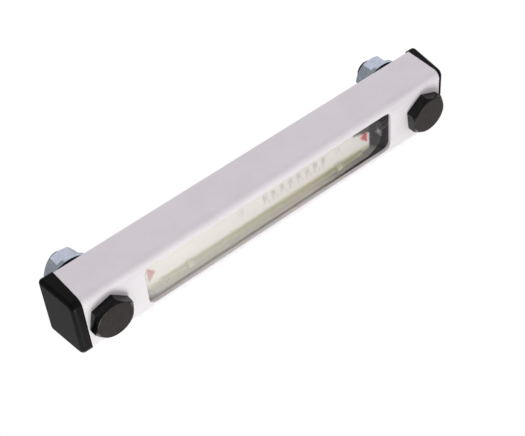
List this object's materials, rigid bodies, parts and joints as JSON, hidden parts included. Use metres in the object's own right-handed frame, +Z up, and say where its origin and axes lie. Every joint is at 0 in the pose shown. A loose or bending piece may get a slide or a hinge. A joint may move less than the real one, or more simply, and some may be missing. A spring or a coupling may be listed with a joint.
{
  "type": "tank level gauge",
  "caption": "Fluid level and temperature gauge for a hydraulic tank, with a clear sight body in a white sheet-metal guard, black end caps and two hollow bolts.",
  "frame": {"origin": "on the tank wall's outer face, midway between the two bolts", "axes": "+Z up along the gauge, +Y into the tank along the bolts, +X across the gauge, so the window faces -Y"},
  "size_m": [0.0368, 0.0502, 0.2371],
  "materials": {
    "white_powder_coat": "satin",
    "black_moulding": "satin",
    "clear_moulding": "clear",
    "black_bolt": "black oxide, satin",
    "zinc_plate": "zinc plated",
    "black_seal": "matte",
    "white_plate": "matte",
    "tube_glass": "clear, yellow-green",
    "tube_fluid": "liquid"
  },
  "bodies": {
    "root": {"guard_channel": "white_powder_coat", "lower_end_cap": "black_moulding", "upper_end_cap": "black_moulding", "sight_body": "clear_moulding", "rear_shell": "black_moulding", "scale_plate": "white_plate", "temperature_tube": "tube_glass", "tube_fluid": "tube_fluid", "lower_tube_clip": "white_plate", "upper_tube_clip": "white_plate", "lower_bolt": "black_bolt", "upper_bolt": "black_bolt", "lower_head_seal": "black_seal", "upper_head_seal": "black_seal", "lower_tank_seal": "black_seal", "upper_tank_seal": "black_seal", "lower_washer": "zinc_plate", "upper_washer": "zinc_plate", "lower_nut": "zinc_plate", "upper_nut": "zinc_plate"}
  },
  "joints": []
}
